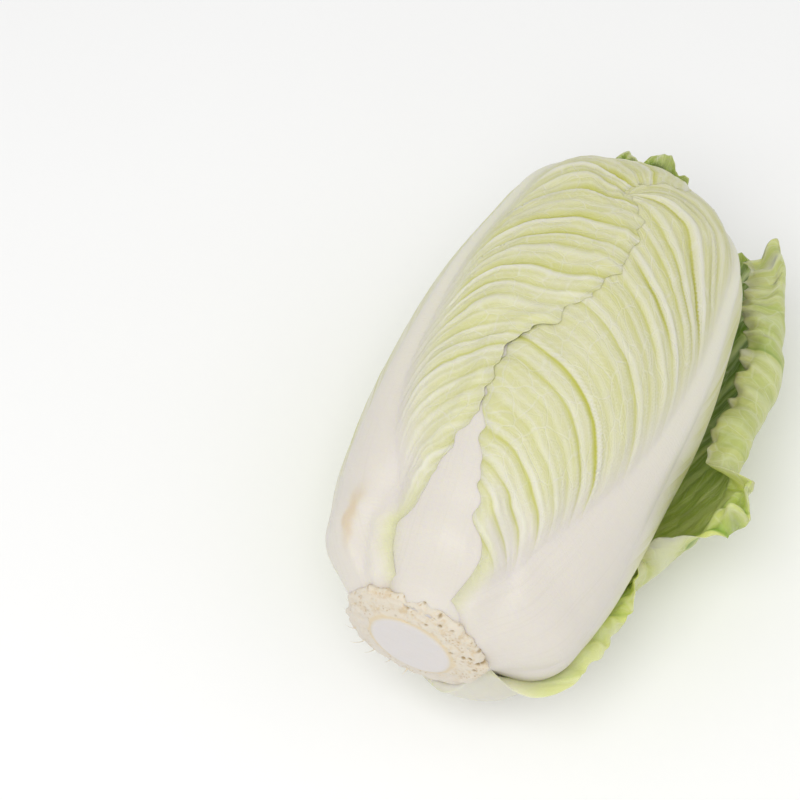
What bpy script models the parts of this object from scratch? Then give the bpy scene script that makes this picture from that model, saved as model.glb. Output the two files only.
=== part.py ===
"""Napa cabbage: one head as cut, trimmed and laid on its side, made of its separate leaves.

Metres, +Z up. The head's axis runs along +Y from the cut stem to the tip, and the origin is on the
small flat spot that the head rests on, below the middle of its length. An azimuth is an angle in
degrees round the axis, from straight up (0) towards +X (90). A height is a distance out from the
head's skin, the smooth barrel that the outer leaves follow.
"""

import math
from dataclasses import dataclass

import bmesh
import bpy
import numpy as np
from mathutils import Vector, kdtree

# Driving sizes of the head.
HEAD_LENGTH = 0.270
AXIS_HEIGHT = 0.0803
SKIN_RADII = (  # (distance from the cut end, radius)
    (0.000, 0.0213),
    (0.016, 0.0500),
    (0.043, 0.0638),
    (0.081, 0.0722),
    (0.122, 0.0750),
    (0.167, 0.0735),
    (0.216, 0.0655),
)
LEAF_START = 0.0065  # the leaves leave the stem this far from the cut end
FREE_RADII = (  # the wider barrel that the loose leaf follows
    (0.000, 0.0258),
    (0.016, 0.0545),
    (0.043, 0.0683),
    (0.081, 0.0767),
    (0.122, 0.0795),
    (0.167, 0.0788),
    (0.216, 0.0770),
    (0.262, 0.0690),
    (0.290, 0.0590),
)
FREE_LENGTH = 0.330

# Driving sizes of every leaf.
BLADE = 0.0012
LEAF_GAP = 0.0007
DRAPE_SLOPE = 0.30  # how fast a leaf comes down beside the edge of the one that it lies on
BEND_START = 0.105  # distance from the tip where a leaf starts to fold over the crown
BEND_END = 0.035
VEIN_SPACING = 0.030  # along the midrib
VEIN_RISE = 0.110  # how far a side vein climbs before it runs straight out
VEIN_RISE_LOSS = 0.22  # the veins nearer to the tip climb less
VEIN_BEND = 0.040  # distance from the midrib over which a side vein turns outwards
PLEAT = 0.0015
FRILL_WIDTH = 0.020
FRILL_LENGTH = 0.034  # from one frill to the next along the edge

# How finely a leaf is worked out, and how many triangles are kept on each face of it.
COLUMNS = 61
ROWS = 91


@dataclass
class Leaf:
    """Tables are (share of the leaf's length, value), from the stem to the leaf's own tip."""

    name: str
    azimuth: tuple  # of the midrib
    right: tuple  # half-width towards a greater azimuth
    left: tuple
    skin: float  # height of the midrib's outer face
    past_tip: float  # how far the leaf reaches past the head's tip
    droop: float  # how much sooner the shoulders end than the tip
    frill: float  # height of the frills at the edge
    triangles: int
    colour: tuple
    rib_half_width: tuple = ((0.0, 0.030), (0.15, 0.027), (0.35, 0.013), (0.6, 0.0065), (1.0, 0.002))
    rib_depth: tuple = ((0.0, 0.0058), (0.25, 0.0050), (0.5, 0.0034), (0.8, 0.0022), (1.0, 0.0013))
    free: bool = False  # follows its own barrel, clear of the head
    lift: tuple = ((0, 0), (1, 0))  # how far the leaf stands off its barrel
    lift_across: tuple = ((-1, 1), (1, 1))  # its share, from the left edge (-1) to the right (1)
    phase: float = 0.0


NARROW_BASE = ((0, 0.024), (0.15, 0.040), (0.4, 0.062), (0.7, 0.062), (1, 0.040))
WIDE_BASE = ((0, 0.028), (0.1, 0.046), (0.3, 0.072), (0.6, 0.088), (0.8, 0.076), (1, 0.050))

# From the innermost leaf to the outermost. The spiral round the stem sets their azimuths.
LEAVES = (
    Leaf(
        name="inner_leaf_right",
        azimuth=((0, 128), (1, 135)),
        right=NARROW_BASE,
        left=NARROW_BASE,
        skin=-0.0115,
        past_tip=0.004,
        droop=0.030,
        frill=0.0008,
        triangles=340,
        colour=(0.80, 0.84, 0.50),
        phase=0.3,
    ),
    Leaf(
        name="inner_leaf_left",
        azimuth=((0, -88), (1, -98)),
        right=NARROW_BASE,
        left=NARROW_BASE,
        skin=-0.0105,
        past_tip=0.008,
        droop=0.030,
        frill=0.0008,
        triangles=340,
        colour=(0.80, 0.84, 0.50),
        phase=1.1,
    ),
    Leaf(
        name="centre_leaf",
        azimuth=((0, 10), (0.12, 3), (0.3, -6), (1, -14)),
        right=((0, 0.026), (0.1, 0.038), (0.3, 0.060), (0.6, 0.074), (1, 0.055)),
        left=((0, 0.026), (0.1, 0.038), (0.3, 0.060), (0.6, 0.074), (1, 0.055)),
        skin=-0.0060,
        past_tip=0.010,
        droop=0.034,
        frill=0.0010,
        triangles=600,
        colour=(0.86, 0.86, 0.66),
        phase=2.2,
    ),
    Leaf(
        name="right_leaf",
        azimuth=((0, 66), (0.6, 66), (1, 60)),
        right=WIDE_BASE,
        left=(
            (0.00, 0.027),
            (0.07, 0.039),
            (0.11, 0.051),
            (0.15, 0.064),
            (0.20, 0.075),
            (0.28, 0.093),
            (0.45, 0.098),
            (0.70, 0.090),
            (0.85, 0.074),
            (1.00, 0.052),
        ),
        skin=-0.0018,
        past_tip=0.006,
        droop=0.040,
        frill=0.0014,
        triangles=1100,
        colour=(0.84, 0.86, 0.60),
        phase=0.9,
    ),
    Leaf(
        name="left_leaf",
        azimuth=((0, -48), (0.3, -51), (1, -50)),
        right=(
            (0.00, 0.021),
            (0.08, 0.025),
            (0.12, 0.036),
            (0.19, 0.045),
            (0.28, 0.053),
            (0.38, 0.057),
            (0.43, 0.072),
            (0.52, 0.079),
            (0.61, 0.083),
            (0.75, 0.077),
            (0.88, 0.060),
            (1.00, 0.044),
        ),
        left=WIDE_BASE,
        skin=-0.0006,
        past_tip=0.010,
        droop=0.046,
        frill=0.0022,
        triangles=1100,
        colour=(0.84, 0.87, 0.58),
        phase=0.0,
    ),
    Leaf(
        name="under_leaf",
        azimuth=((0, 196), (0.3, 186), (1, 184)),
        right=((0, 0.027), (0.1, 0.040), (0.3, 0.058), (0.6, 0.070), (1, 0.042)),
        left=((0, 0.027), (0.1, 0.040), (0.3, 0.058), (0.6, 0.070), (1, 0.042)),
        skin=0.0000,
        past_tip=0.020,
        droop=0.036,
        frill=0.0030,
        triangles=800,
        colour=(0.50, 0.66, 0.28),
        lift=((0, 0), (0.8, 0), (1, 0.003)),
        phase=1.7,
    ),
    Leaf(
        name="loose_leaf",
        azimuth=((0, 132), (0.25, 146), (1, 148)),
        right=((0, 0.026), (0.1, 0.036), (0.3, 0.066), (0.6, 0.080), (0.85, 0.070), (1, 0.040)),
        left=(
            (0.00, 0.026),
            (0.10, 0.032),
            (0.25, 0.037),
            (0.38, 0.048),
            (0.46, 0.070),
            (0.51, 0.074),
            (0.57, 0.062),
            (0.80, 0.062),
            (1.00, 0.050),
        ),
        skin=0.0000,
        past_tip=-0.080,
        droop=0.012,
        rib_half_width=((0, 0.026), (0.15, 0.022), (0.35, 0.012), (0.6, 0.0065), (1, 0.002)),
        frill=0.0045,
        triangles=1100,
        colour=(0.58, 0.70, 0.30),
        free=True,
        lift=(
            (0.00, 0.000),
            (0.30, 0.001),
            (0.38, 0.004),
            (0.44, 0.012),
            (0.50, 0.022),
            (0.58, 0.013),
            (0.75, 0.011),
            (0.88, 0.003),
            (1.00, 0.000),
        ),
        lift_across=((-1, 0.7), (-0.85, 1.0), (-0.5, 0.8), (0, 0.3), (0.4, 0.0), (1, 0.0)),
        phase=2.9,
    ),
)

# The stem is the cut butt with its ring of trimmed leaf bases, and the packed core above it.
STEM_COLOUR = (0.88, 0.84, 0.76)
STEM_OUTLINE = (  # (radius, distance from the cut end)
    (0.0, 0.0000),
    (0.0185, 0.0000),
    (0.0200, 0.0006),
    (0.0250, 0.0012),
    (0.0310, 0.0034),
    (0.0322, 0.0052),
    (0.0290, 0.0066),
    (0.0220, 0.0090),
    (0.0195, 0.0140),
)
STEM_SIDES = 36
CORE_HEIGHT = -0.0190
CORE_START = 0.006
CORE_STEPS = 15


def smooth_curve(table, x):
    """A cubic curve through the table's (x, value) rows, level past its ends."""
    xs, values = np.array(table, float).T
    slopes = np.gradient(values, xs)
    x = np.clip(x, xs[0], xs[-1])
    i = np.clip(np.searchsorted(xs, x) - 1, 0, len(xs) - 2)
    step = xs[i + 1] - xs[i]
    t = (x - xs[i]) / step
    start = (1 + 2 * t) * (1 - t) ** 2 * values[i] + t * (1 - t) ** 2 * step * slopes[i]
    end = t * t * (3 - 2 * t) * values[i + 1] + t * t * (t - 1) * step * slopes[i + 1]
    return start + end


def ramp(x, low, high):
    """0 below low, 1 above high, and smooth between."""
    t = np.clip((x - low) / (high - low), 0, 1)
    return t * t * (3 - 2 * t)


def wobble(x, phase):
    """A smooth, uneven wave between about -1 and 1, with one main crest per unit of x."""
    turn = 2 * math.pi * x
    return (
        0.6 * np.sin(turn + 5.1 * phase)
        + 0.3 * np.sin(2.31 * turn + 1.7 * phase + 0.8)
        + 0.2 * np.sin(0.43 * turn + 3.9 * phase)
    )


class Skin:
    """A smooth barrel. Places on it are (distance to its tip along the skin, azimuth)."""

    def __init__(self, radii, length):
        body_end, body_radius = radii[-1]
        y = np.linspace(0, body_end, 400)
        radius = smooth_curve(radii, y)
        slope = (radius[-1] - radius[-2]) / (y[-1] - y[-2])
        turn = np.linspace(0, math.pi / 2, 400)[1:]
        crown_y = body_end + (length - body_end) * np.sin(turn)
        crown_radius = (body_radius + slope * (crown_y - body_end)) * np.cos(turn)
        y = np.append(y, crown_y)
        radius = np.append(radius, crown_radius)
        along = np.append(0, np.cumsum(np.hypot(np.diff(y), np.diff(radius))))
        self.from_tip = (along[-1] - along)[::-1]
        self.y = y[::-1]
        self.radius = radius[::-1]
        self.out_radius = -np.gradient(self.y, self.from_tip)
        self.out_y = np.gradient(self.radius, self.from_tip)

    def distance_at(self, y):
        """Distance to the tip along the skin, of the circle y from the cut end."""
        return float(np.interp(y, self.y[::-1], self.from_tip[::-1]))

    def radius_at(self, distance):
        return np.interp(distance, self.from_tip, self.radius)

    def point(self, distance, azimuth, height):
        """Points in the part's frame, shape (..., 3)."""
        out_radius = np.interp(distance, self.from_tip, self.out_radius)
        out_y = np.interp(distance, self.from_tip, self.out_y)
        radius = self.radius_at(distance) + height * out_radius
        y = np.interp(distance, self.from_tip, self.y) + height * out_y
        turn = np.radians(azimuth)
        return np.stack(
            [radius * np.sin(turn), y - HEAD_LENGTH / 2, AXIS_HEIGHT + radius * np.cos(turn)], -1
        )


def leaf_places(skin, leaf):
    """The leaf's own coordinates on a grid, and where each point lies on the skin."""
    across, along = np.meshgrid(np.linspace(-1, 1, COLUMNS), np.linspace(0, 1, ROWS))
    half_width = np.where(
        across > 0, smooth_curve(leaf.right, along), smooth_curve(leaf.left, along)
    )
    start = skin.distance_at(LEAF_START)
    length = start + leaf.past_tip
    scallop = 1 + 0.025 * ramp(along, 0.08, 0.3) * wobble(along * length / FRILL_LENGTH, leaf.phase)
    sideways = across * half_width * scallop
    to_tip = start - along * length + leaf.droop * np.abs(across) ** 1.4 * along**3
    tip_wave = 0.003 * wobble(across * 2.2, leaf.phase + 2)
    to_tip = to_tip + tip_wave * ramp(along, 0.75, 1)
    fold = 1 - ramp(to_tip, BEND_END, BEND_START)
    round_turn = sideways / skin.radius_at(np.maximum(to_tip, BEND_END))
    over_turn = np.arctan2(sideways, to_tip)
    distance = (1 - fold) * to_tip + fold * np.hypot(sideways, to_tip)
    turn = (1 - fold) * round_turn + fold * over_turn
    azimuth = smooth_curve(leaf.azimuth, along) + np.degrees(turn)
    edge = np.minimum((1 - np.abs(across)) * half_width, (1 - along) * length)
    return across, along, along * length, sideways, edge, distance, azimuth


def vein_number(sideways, lengthwise):
    """Whole numbers along the side veins, halves midway between two of them."""
    out = 1 - np.exp(-np.abs(sideways) / VEIN_BEND)
    root = (lengthwise - VEIN_RISE * out) / (1 - VEIN_RISE_LOSS * out)
    return root / VEIN_SPACING


def relax(heights, floor, rounds):
    """Evens the heights out, and keeps them on or over the floor."""
    for _ in range(rounds):
        wide = np.pad(heights, 1, mode="edge")
        mean = (wide[:-2, 1:-1] + wide[2:, 1:-1] + wide[1:-1, :-2] + wide[1:-1, 2:]) / 4
        heights = np.maximum((heights + mean) / 2, floor)
    return heights


class Stack:
    """The leaves laid so far, for the next one to be draped over."""

    def __init__(self):
        self.laid = []

    def add(self, places, tops):
        tree = kdtree.KDTree(places.size // 3)
        for i, place in enumerate(places.reshape(-1, 3)):
            tree.insert(place, i)
        tree.balance()
        self.laid.append((tree, tops.ravel()))

    def height(self, places):
        """The height of what lies under each place, which falls away beside a leaf's edge."""
        found = np.full(places.size // 3, CORE_HEIGHT)
        for tree, tops in self.laid:
            near = [tree.find(place)[1:] for place in places.reshape(-1, 3)]
            index = np.array([n[0] for n in near])
            away = np.array([n[1] for n in near])
            found = np.maximum(found, tops[index] - DRAPE_SLOPE * np.maximum(away - 0.002, 0))
        return found.reshape(places.shape[:-1])


def leaf_sheet(skin, stack, leaf):
    """(outer points, thickness) of the leaf on its grid, draped over the stack."""
    if leaf.free:
        skin = Skin(FREE_RADII, FREE_LENGTH)
    across, along, lengthwise, sideways, edge, distance, azimuth = leaf_places(skin, leaf)
    places = skin.point(distance, azimuth, 0.0)
    rib_depth = smooth_curve(leaf.rib_depth, along)
    beside_rib = np.abs(sideways) / smooth_curve(leaf.rib_half_width, along)
    rib = np.clip(1 - beside_rib**2, 0, 1) ** 1.2
    thickness = BLADE + np.maximum(rib_depth - BLADE, 0) * rib
    floor = np.zeros(along.shape) if leaf.free else stack.height(places) + LEAF_GAP
    inner = relax(np.maximum(floor, leaf.skin - rib_depth), floor, rounds=6)
    vein = 0.5 + 0.5 * np.cos(2 * math.pi * vein_number(sideways, lengthwise))
    blade = ramp(beside_rib, 1.0, 2.2) * ramp(along, 0.12, 0.3)
    frill = 0.5 + 0.5 * wobble(
        vein_number(sideways, lengthwise) * VEIN_SPACING / FRILL_LENGTH, leaf.phase
    )
    near_edge = 1 - ramp(edge, 0, FRILL_WIDTH)
    inner += PLEAT * vein * blade
    inner += leaf.frill * np.maximum(frill, 0) * near_edge * ramp(along, 0.05, 0.35)
    inner += smooth_curve(leaf.lift, along) * smooth_curve(leaf.lift_across, across)
    foot = skin.point(distance, azimuth, 0.0)[..., 2]
    fall = foot - skin.point(distance, azimuth, 1.0)[..., 2]
    ground = np.where(fall > 0.2, foot / np.maximum(fall, 0.2), 1.0)
    outer = np.minimum(inner + thickness, ground)
    stack.add(places, outer)
    return skin.point(distance, azimuth, outer), thickness


def material(name, colour, roughness):
    made = bpy.data.materials.new(name)
    made.use_nodes = True
    shader = made.node_tree.nodes["Principled BSDF"]
    shader.inputs["Base Color"].default_value = (*colour, 1)
    shader.inputs["Roughness"].default_value = roughness
    shader.inputs["Metallic"].default_value = 0.0
    return made


def new_object(name, mesh, colour, collection, roughness=0.45):
    obj = bpy.data.objects.new(name, mesh)
    collection.objects.link(obj)
    mesh.materials.append(material(name, colour, roughness))
    mesh.shade_smooth()
    return obj


def add_leaf(skin, stack, leaf, collection):
    """A grid laid on the head, thinned out where it is flat, and given the leaf's thickness."""
    points, thickness = leaf_sheet(skin, stack, leaf)
    bm = bmesh.new()
    bmesh.ops.create_grid(bm, x_segments=COLUMNS - 1, y_segments=ROWS - 1, size=1)
    bm.verts.ensure_lookup_table()
    order = sorted(range(len(bm.verts)), key=lambda i: (round(bm.verts[i].co.y, 5), bm.verts[i].co.x))
    flat_points = points.reshape(-1, 3)
    rank = np.empty(len(order), int)
    for place, i in enumerate(order):
        bm.verts[i].co = Vector(flat_points[place])
        rank[i] = place
    bmesh.ops.triangulate(bm, faces=bm.faces)
    mesh = bpy.data.meshes.new(leaf.name)
    bm.to_mesh(mesh)
    bm.free()
    obj = new_object(leaf.name, mesh, leaf.colour, collection)
    thickest = float(thickness.max())
    group = obj.vertex_groups.new(name="thickness")
    for i, place in enumerate(rank):
        group.add([i], float(thickness.ravel()[place]) / thickest, "REPLACE")
    thin_out = obj.modifiers.new("thin_out", "DECIMATE")
    thin_out.ratio = leaf.triangles / len(mesh.polygons)
    body = obj.modifiers.new("body", "SOLIDIFY")
    body.thickness = thickest
    body.vertex_group = group.name
    body.offset = -1
    return obj


def add_stem(skin, collection):
    """The butt, its ring and the core in one outline, turned round the head's axis."""
    outline = list(STEM_OUTLINE)
    for step in range(CORE_STEPS + 1):
        distance = skin.distance_at(CORE_START) * (1 - step / CORE_STEPS) ** 1.3
        radius, y, z = skin.point(distance, 90.0, CORE_HEIGHT)
        outline.append((max(float(radius), 0.0), float(y) + HEAD_LENGTH / 2))
    bm = bmesh.new()
    verts = [bm.verts.new((radius, y, 0)) for radius, y in outline]
    for a, b in zip(verts, verts[1:]):
        bm.edges.new((a, b))
    mesh = bpy.data.meshes.new("stem")
    bm.to_mesh(mesh)
    bm.free()
    obj = new_object("stem", mesh, STEM_COLOUR, collection, roughness=0.6)
    obj.location = (0, -HEAD_LENGTH / 2, AXIS_HEIGHT)
    turned = obj.modifiers.new("turned", "SCREW")
    turned.axis = "Y"
    turned.steps = turned.render_steps = STEM_SIDES
    turned.use_normal_flip = True
    turned.use_merge_vertices = True
    turned.merge_threshold = 0.0001
    return obj


def main():
    for obj in list(bpy.data.objects):
        bpy.data.objects.remove(obj)
    cabbage = bpy.data.collections.new("napa_cabbage")
    bpy.context.scene.collection.children.link(cabbage)
    skin = Skin(SKIN_RADII, HEAD_LENGTH)
    stack = Stack()
    add_stem(skin, cabbage)
    for leaf in LEAVES:
        add_leaf(skin, stack, leaf, cabbage)


main()
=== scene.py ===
"""Napa cabbage lying on a pale floor: fine leaves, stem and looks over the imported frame.

Metres, +Z up, in the part's own frame. The head's axis runs along +Y from the cut stem to the tip.
An azimuth is an angle in degrees round the axis, from straight up (0) towards +X (90). A height is a
distance out from the head's skin, the smooth barrel that the outer leaves follow.
"""

import math
from dataclasses import dataclass

import bpy
import numpy as np
from mathutils import Matrix, Vector, kdtree

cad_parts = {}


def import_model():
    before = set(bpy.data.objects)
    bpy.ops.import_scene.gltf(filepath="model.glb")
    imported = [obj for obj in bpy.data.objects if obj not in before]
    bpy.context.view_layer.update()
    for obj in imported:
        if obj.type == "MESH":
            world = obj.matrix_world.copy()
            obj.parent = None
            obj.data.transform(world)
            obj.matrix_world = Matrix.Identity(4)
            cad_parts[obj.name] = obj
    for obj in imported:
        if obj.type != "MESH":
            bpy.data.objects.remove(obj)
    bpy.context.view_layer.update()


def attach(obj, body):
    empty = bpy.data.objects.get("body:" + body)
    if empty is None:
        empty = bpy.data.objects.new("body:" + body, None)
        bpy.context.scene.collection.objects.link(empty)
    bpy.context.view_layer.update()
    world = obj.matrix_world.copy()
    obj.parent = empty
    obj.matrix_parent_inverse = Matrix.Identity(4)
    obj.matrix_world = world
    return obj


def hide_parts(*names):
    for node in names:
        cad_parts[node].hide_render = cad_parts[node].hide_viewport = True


# The head, as in the part.
HEAD_LENGTH = 0.27
AXIS_HEIGHT = 0.0803
SKIN_RADII = (  # (distance from the cut end, radius)
    (0.0, 0.0213), (0.016, 0.05), (0.043, 0.0638), (0.081, 0.0722), (0.122, 0.075), (0.167, 0.0735),
    (0.216, 0.0655),
)
LEAF_START = 0.0065
FREE_RADII = (  # the wider barrel that the loose leaf follows
    (0.0, 0.025), (0.016, 0.054), (0.043, 0.0683), (0.081, 0.0767), (0.122, 0.0795), (0.167, 0.0788),
    (0.216, 0.077), (0.262, 0.069), (0.29, 0.059),
)
FREE_LENGTH = 0.33

# How the leaves lie.
BLADE = 0.0009
LEAF_GAP = 0.0003
CORE_HEIGHT = -0.019
DRAPE_SLOPE = 0.3  # how steeply a leaf comes down beside the edge of one under it
CROWN_SINK = 0.006  # how much lower the leaves lie at the head's tip
CLING = 0.0065  # how far a leaf's edge leans in, where nothing holds it up
ROOT_SHARE = -0.018  # the leaves reach this far under the stem's ring
BEND_START = 0.105
BEND_END = 0.035
COARSE = (61, 91)  # the drape is worked out on this grid, then carried to the fine one
EDGE_BLADE = 0.3  # share of the blade's thickness that is left at its very edge
EDGE_TAPER = 0.006  # the blade has its full thickness this far in
PRESSED_EDGE = (0.001, 0.01)  # an edge lies close up to the first distance, and free past the second
PRESSED_LOSS = 0.85  # share of the relief that an edge loses where it lies close
SINK_DOWN, SINK_UP = 0.006, 0.003  # how far an edge may be moved to lie close

# Side veins leave the rib steeply and turn outwards. A crease runs beside each of them.
CREASE_DEPTH = 0.0017
VEIN_HEIGHT = 0.0009
GATHER_HEIGHT = 0.00045
SWELL_HEIGHT = 0.0009  # of broad swells, some 50 mm long
STRIPE_HEIGHT = 0.00016  # of the fine lines along the rib
VEIN_SLANT = 0.1
VEIN_WANDER = ((0.0042, 0.03, 0.04), (0.0006, 0.01, 0.012))  # (shift, width, length) of each bend
TOOTH_LENGTHS = (0.006, 0.0029)
CRUMPLES = ((0.021, 0.012), (0.008, 0.007))  # (length, width) of the dents in a curled edge


def from_mm(*values):
    return tuple(value / 1000 for value in values)


def regular_creases(spacing, seed):
    """Places along the rib where creases start, from below the leaf to past its tip."""
    places = np.arange(-0.06, 0.42, spacing)
    return tuple(places + 0.3 * spacing * np.sin(places * 173.0 + seed))


@dataclass
class Leaf:
    """Tables are (share of the leaf's length, value), from the stem to the leaf's own tip."""

    name: str
    azimuth: tuple  # of the midrib
    right: tuple  # half-width towards a greater azimuth
    left: tuple
    skin: float  # height of the midrib's outer face
    past_tip: float  # how far the leaf reaches past the head's tip
    droop: float  # how much sooner the shoulders end than the tip
    grid: tuple  # points across and along
    vein_rise: tuple = ((0, 0.04), (0.5, 0.05), (1, 0.07))  # how much further up a vein ends
    vein_bend: float = 0.024  # the distance from the rib over which it turns outwards
    creases_right: tuple = regular_creases(0.019, 1.0)
    creases_left: tuple = regular_creases(0.019, 2.0)
    crease_side: float = 1.0  # 1 where the steep side of a crease faces the tip
    crease_depth: float = CREASE_DEPTH
    lively: tuple = ((-1, 1), (1, 1))  # share of the relief, across the leaf
    cling: tuple = ((-1, 0), (1, 0))  # how much the edges lean in, across the leaf
    tight: float = 0.55  # share of the relief that is lost where the leaves meet at the head's tip
    pucker: float = 0.0003  # height of the small bumps all over the blade
    folds: float = 0.0006  # height of the folds along the veins
    crinkle: float = 0.0003  # height of the small crinkles at the edge
    frill: float = 0.0015  # height of the waves at the edge
    frill_width: float = 0.016
    frill_length: float = 0.024
    teeth: float = 0.0009
    lobes: float = 0.0013
    rib_half_width: tuple = ((0.0, 0.03), (0.15, 0.027), (0.35, 0.013), (0.6, 0.0065), (1.0, 0.002))
    rib_depth: tuple = ((0.0, 0.0058), (0.25, 0.005), (0.5, 0.0034), (0.8, 0.0022), (1.0, 0.0011))
    foot_depth: float = 0.007  # how deep the leaf's inner face is rooted under the stem's ring
    free: bool = False  # follows its own barrel, clear of the head
    lift: tuple = ((0, 0), (1, 0))
    lift_across: tuple = ((-1, 1), (1, 1))
    curl: tuple = ((0, 0), (1, 0))  # turns of the left edge, inwards if above 0
    crumple: tuple = ((0, 0), (1, 0))  # how unevenly the left edge curls
    curl_width: tuple = ((0, 0.022), (1, 0.022))
    spur: tuple = (0.0, 0.0, 1.0)  # a finger at the tip: place across, length and width
    material: str = "pale_leaf_tissue"
    seed: float = 0.0


NARROW_BASE = ((0, 0.024), (0.15, 0.04), (0.4, 0.062), (0.7, 0.062), (1, 0.04))

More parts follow.
